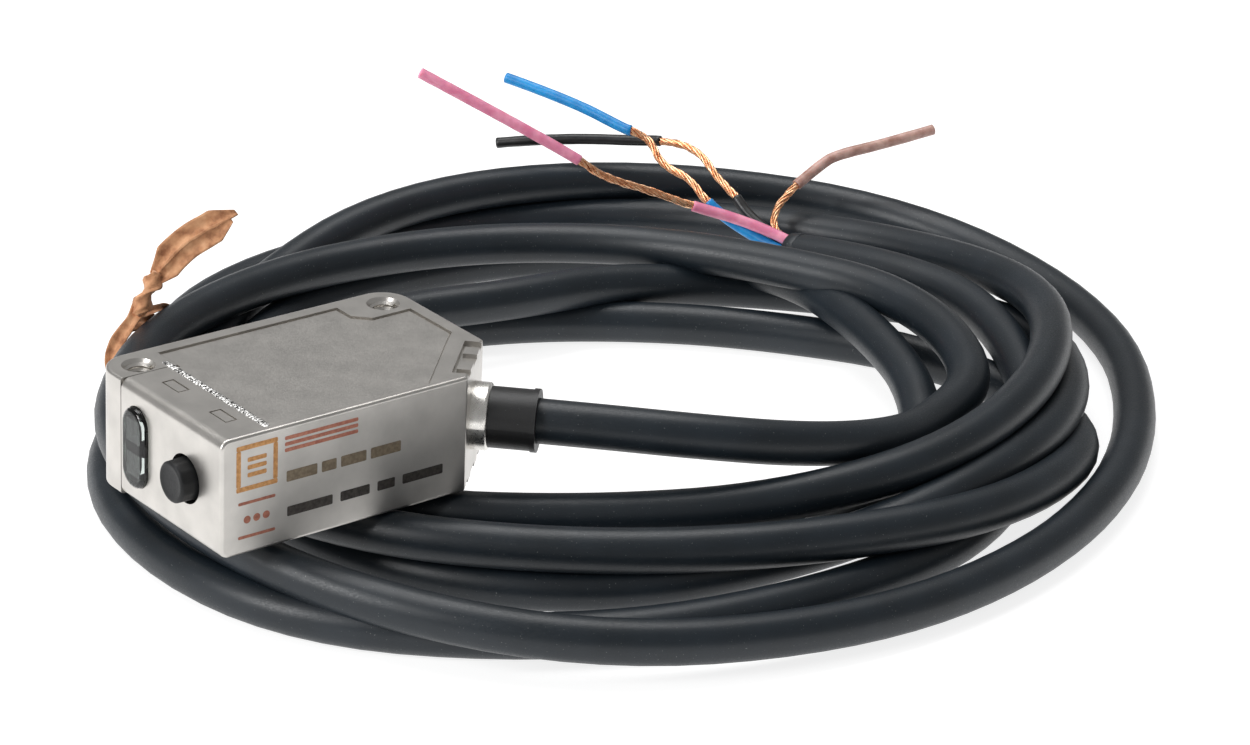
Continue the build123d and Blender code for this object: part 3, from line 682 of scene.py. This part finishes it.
def tie_leaf():
    """The free end of the tie: two folded wings side by side that narrow at both ends."""
    groups = []
    line = smooth_line([at(*p) for p in LEAF], 0.2 * MM)
    forward = (line[-1] - line[0]).normalized()
    across = forward.cross(Vector((0.35, -0.6, 0.72))).normalized()
    # each wing: how far it sits to the side, how far it leans over, and its share of the length
    for shift, lean, cut in ((-0.713, 0.45, 1.0), (0.713, -0.40, 0.94)):
        part = line[:int(len(line) * cut)]
        rings = []
        for k, place in enumerate(part):
            share = k / (len(part) - 1)
            taper = min(1.0, 0.45 + 2.6 * share) * min(1.0, 3.4 * (1 - share) + 0.30)
            through = (forward.cross(across) + across * lean).normalized()
            spot = place + across * (shift * taper * MM)
            rings.append(ribbon_ring(spot, across, through, 0.86 * taper * MM, 0.40 * MM * taper, 0.16 * MM))
        groups.append(rings)
    return lofted(groups)


def paper_tie():
    """The whole tie: its band, the strips that come up from it, the knot and the free end."""
    band = piece("tie_band", *tie_band(), "kraft_paper")
    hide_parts("coil_tie")
    facing = Vector((-0.6, -0.7, 0.4))          # the side that the strips' flat faces turn to
    strips = [tie_strip(RISER, 0.85, facing), tie_strip(RETURN, 0.5, facing), tie_strip(FLAP, 0.8, facing)]
    ends = piece("tie_strips", *lofted(strips), "kraft_paper")
    knot = piece("tie_knot", *tie_knot(), "kraft_paper")
    leaf = piece("tie_leaf", *tie_leaf(), "kraft_paper")
    return [band, ends, knot, leaf]


# ---- the sensor's head ---------------------------------------------------------------------------
BEAD_LOW, BEAD_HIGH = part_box("weld_beads")
BEAD_STEP = 0.06 * MM
BEAD_HALF = 0.42 * MM        # half the width of the melted track
BEAD_TALL = 0.15 * MM        # from its middle line to its crest
BEAD_SUNK = 0.04 * MM        # how far its middle line lies under the face
BEAD_RUN_ON = 1.3 * MM       # the track runs on past the seam, towards the hole
BEAD_BOW = 0.16 * MM         # how far each ripple bows along the track
BEAD_SIDES = 22
RIPPLE = 0.36 * MM           # from one ripple of the weld to the next


def weld_seams():
    """The laser weld on each large face: overlapping ripples of melted steel."""
    groups = []
    x = (BEAD_LOW.x + BEAD_HIGH.x) / 2
    steps = int((BEAD_HIGH.y + BEAD_RUN_ON - BEAD_LOW.y) / BEAD_STEP)
    for face, up in ((TOP, 1), (BOTTOM, -1)):
        rings = []
        for k in range(steps + 1):
            y = BEAD_LOW.y + k * BEAD_STEP
            fade = min(1.0, 0.35 + 3.0 * min(k, steps - k) / 20)
            ring = []
            for j in range(BEAD_SIDES):
                angle = 2 * pi * j / BEAD_SIDES
                bent = y + BEAD_BOW * cos(angle) ** 2
                scale = (bent % RIPPLE) / RIPPLE
                spot = Vector((cos(angle), y / MM * 2.6, up))
                reach = fade * (0.86 + 0.14 * noise.noise(spot * 2.3))
                crest = fade * (0.55 + 0.45 * scale + 0.25 * noise.noise(spot * 3.7))
                ring.append(Vector((x + reach * BEAD_HALF * cos(angle), y,
                                    face - up * BEAD_SUNK + crest * BEAD_TALL * sin(angle))))
            rings.append(ring)
        groups.append(rings)
    seams = piece("weld_seams", *lofted(groups), "weld_steel")
    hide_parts("weld_beads")


HOLE_X = 12.7 * MM
BORE_R = 1.25 * MM
THREAD_START = 0.45 * MM     # below each face
THREAD_PITCH = 0.5 * MM
THREAD_DEEP = 0.20 * MM


def hole_threads():
    """The thread inside each mounting hole: a ridge that winds down the bore."""
    per_turn = 36
    root, half = BORE_R + 0.02 * MM, 0.22 * MM
    top, bottom = TOP - THREAD_START, BOTTOM + THREAD_START
    steps = int((top - bottom) / THREAD_PITCH * per_turn)
    for name, x in (("thread_button_end", -HOLE_X), ("thread_cable_end", HOLE_X)):
        rings = []
        for k in range(steps + 1):
            angle = 2 * pi * k / per_turn
            z = top - k / per_turn * THREAD_PITCH
            out = Vector((cos(angle), sin(angle), 0))
            axis = Vector((x, 0, z))
            rings.append([axis + out * root + Vector((0, 0, half)), axis + out * root - Vector((0, 0, half)),
                          axis + out * (BORE_R - THREAD_DEEP)])
        piece(name, *lofted([rings]), "case_steel", smooth=False)


FACETS = 12                  # flats round the button's side
FACET_ENDS = (0.3 * MM, 2.45 * MM)
# The button from its face inwards: (depth, radius) in millimetres, before the skirt behind the wall.
BUTTON_PROFILE = [
    (0.10, 0.05), (0.10, 0.5), (0.09, 1.0), (0.05, 1.30), (0.01, 1.45), (0.0, 1.56), (0.02, 1.66),
    (0.08, 1.75), (0.18, 1.82), (0.34, 1.87), (0.6, 1.89), (1.2, 1.91), (1.8, 1.93), (2.5, 1.95),
]


def teach_button():
    """The rubber button: a faceted side that narrows a little, a rounded rim and a dished face."""
    origin = Vector((BUTTON_LOW.x, (BUTTON_LOW.y + BUTTON_HIGH.y) / 2, MIDDLE))
    skirt_r = (BUTTON_HIGH.y - BUTTON_LOW.y) / 2 / MM
    skirt = [(2.5, skirt_r), (3.05, skirt_r), (3.05, 0.8), (3.4, 0.8), (3.4, 0.05)]
    profile = [(x * MM, r * MM) for x, r in BUTTON_PROFILE + skirt]

    def facets(angle, along):
        side = FACET_ENDS[0] < along < FACET_ENDS[1]
        part = (angle * FACETS / (2 * pi)) % 1 - 0.5
        flat = cos(pi / FACETS) / cos(part * 2 * pi / FACETS)
        return flat if side else 1.0

    rings = lathe(origin, Vector((1, 0, 0)), profile, FACETS * 6, facets)
    made = piece("teach_button_cap", *lofted([rings]), "button_rubber", body=BUTTON)
    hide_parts("teach_button")


# ---- plain marks on the label face, in place of the printed ones ---------------------------------
MARK_THICK = 0.012 * MM


def plate_outline(x0, x1, z0, z1, corner=0.12):
    """A small rectangle with rounded corners, in millimetres on the label face."""
    points = []
    for x, z, start in ((x1 - corner, z1 - corner, 0), (x0 + corner, z1 - corner, 90),
                        (x0 + corner, z0 + corner, 180), (x1 - corner, z0 + corner, 270)):
        for k in range(5):
            angle = radians(start + 22.5 * k)
            points.append((x + corner * cos(angle), z + corner * sin(angle)))
    return points


def marked(outline):
    """The two rings of a thin plate on the label face."""
    rings = []
    for y in (LABEL_FACE + MARK_THICK, LABEL_FACE - MARK_THICK):
        rings.append([Vector((x * MM, y, z * MM)) for x, z in outline])
    return rings


def bars(x0, x1, heights, half):
    """Level bars of one length, one above another."""
    return [plate_outline(x0, x1, z - half, z + half) for z in heights]


def dots(x, z, count, spacing, radius):
    """A level row of round dots."""
    made = []
    for k in range(count):
        made.append([(x + spacing * k + radius * cos(a * pi / 12), z + radius * sin(a * pi / 12))
                     for a in range(24)])
    return made


def blocks(x, widths, z0, z1, gap):
    """A level row of blank blocks of different widths."""
    made = []
    for width in widths:
        made.append(plate_outline(x, x + width, z0, z1))
        x += width + gap
    return made


def marks():
    """A framed square, a dotted strip, three thin bars and two rows of blocks, in millimetres."""
    square = bars(-14.0, -9.9, (-1.02, -4.78), 0.22)
    square += [plate_outline(x - 0.22, x + 0.22, -4.55, -1.25) for x in (-13.78, -10.12)]
    square += bars(-12.9, -11.0, (-2.2, -2.9, -3.6), 0.2)
    dotted = dots(-12.9, -7.65, 3, 0.95, 0.35) + bars(-13.8, -10.1, (-6.1, -9.2), 0.14)
    tinted = {
        "mark_square": (square, "amber_tint", (0.42, 0.20, 0.07), (0.62, 0.33, 0.13)),
        "mark_dots": (dotted, "brown_red_tint", (0.28, 0.10, 0.07), (0.42, 0.17, 0.11)),
        "mark_bar": (bars(-9.2, -1.8, (-1.15, -1.7, -2.25), 0.17),
                     "red_tint", (0.36, 0.13, 0.09), (0.50, 0.21, 0.14)),
        "mark_wide_blocks": (blocks(-9.0, (3.1, 1.5, 2.6, 3.1), -5.2, -4.2, 0.45),
                             "grey_tint", (0.16, 0.125, 0.085), (0.24, 0.19, 0.13)),
        "mark_low_blocks": (blocks(-8.9, (4.6, 3.0, 1.8, 4.2), -8.4, -7.5, 0.8),
                            "dark_tint", (0.035, 0.030, 0.027), (0.07, 0.062, 0.055)),
    }
    for name, (outlines, tint, dark, light) in tinted.items():
        piece(name, *lofted([marked(outline) for outline in outlines]), "case_steel",
              material=laser_mark(tint, dark, light), smooth=False)


# ---- camera, floor and lights --------------------------------------------------------------------
CAMERA_PLACE = Vector((-0.2002, -0.3001, 0.1546))
CAMERA_HEADING = radians(38.73)       # from +Y towards +X
CAMERA_DIP = radians(23.57)           # below the horizon
CAMERA_ROLL = radians(2.51)
CAMERA_LENS = 129.6                   # millimetres, on a sensor 36 mm wide


def add_camera():
    """A camera close to the photograph's. Its place follows from the case's edges and a chosen lens."""
    level_out = Vector((sin(CAMERA_HEADING), cos(CAMERA_HEADING), 0))
    forward = level_out * cos(CAMERA_DIP) - Vector((0, 0, sin(CAMERA_DIP)))
    level = forward.cross(Vector((0, 0, 1))).normalized()
    upright = level.cross(forward)
    right = level * cos(CAMERA_ROLL) + upright * sin(CAMERA_ROLL)
    up = right.cross(forward)
    data = bpy.data.cameras.new("camera")
    data.lens = CAMERA_LENS
    data.sensor_width = 36.0
    data.clip_start = 0.01
    data.clip_end = 20.0
    camera = bpy.data.objects.new("camera", data)
    turned = Matrix((right, up, -forward)).transposed().to_4x4()
    camera.matrix_world = Matrix.Translation(CAMERA_PLACE) @ turned
    bpy.context.scene.collection.objects.link(camera)
    bpy.context.scene.camera = camera


def softbox(name, place, target, size, power):
    """A soft rectangular light, aimed at a point."""
    data = bpy.data.lights.new(name, "AREA")
    data.shape = "RECTANGLE"
    data.size, data.size_y = size
    data.energy = power
    light = bpy.data.objects.new(name, data)
    light.location = place
    light.rotation_euler = (Vector(target) - Vector(place)).to_track_quat("-Z", "Y").to_euler()
    bpy.context.scene.collection.objects.link(light)


def floor():
    """A pale table that glows a little, so that shadows on it stay faint."""
    half = 4.0
    mesh = bpy.data.meshes.new("studio_floor")
    mesh.from_pydata([(-half, -half, FLOOR), (half, -half, FLOOR), (half, half, FLOOR), (-half, half, FLOOR)],
                     [], [(0, 1, 2, 3)])
    made = Finish("studio_white", (0.42, 0.42, 0.42), 0.9, Specular_IOR_Level=0.1, Emission_Strength=0.80)
    made.shader.inputs["Emission Color"].default_value = (1.0, 1.0, 1.0, 1.0)
    mesh.materials.append(made.material)
    ground = bpy.data.objects.new("studio_floor", mesh)
    bpy.context.scene.collection.objects.link(ground)


def world():
    """Even white light from all round."""
    made = bpy.data.worlds.new("studio")
    made.use_nodes = True
    made.node_tree.nodes["Background"].inputs["Color"].default_value = (1.0, 1.0, 1.0, 1.0)
    made.node_tree.nodes["Background"].inputs["Strength"].default_value = 0.29
    bpy.context.scene.world = made


def studio():
    add_camera()
    floor()
    world()
    softbox("top_light", (0.05, 0.30, 0.85), (0.03, 0.0, 0.0), (0.95, 0.5), 6.2)
    softbox("left_light", (-0.85, 0.05, 0.45), (0.0, 0.0, 0.0), (0.4, 0.5), 6.0)
    bpy.context.scene.view_settings.view_transform = "Standard"


# ---- assembly ------------------------------------------------------------------------------------
finish_cad_nodes()
studio()
lead = cable()
on_cable = [jacket_end()]
for conductor_colour in CONDUCTORS:
    on_cable += conductor(conductor_colour)
on_cable += paper_tie()
weld_seams()
hole_threads()
teach_button()
marks()
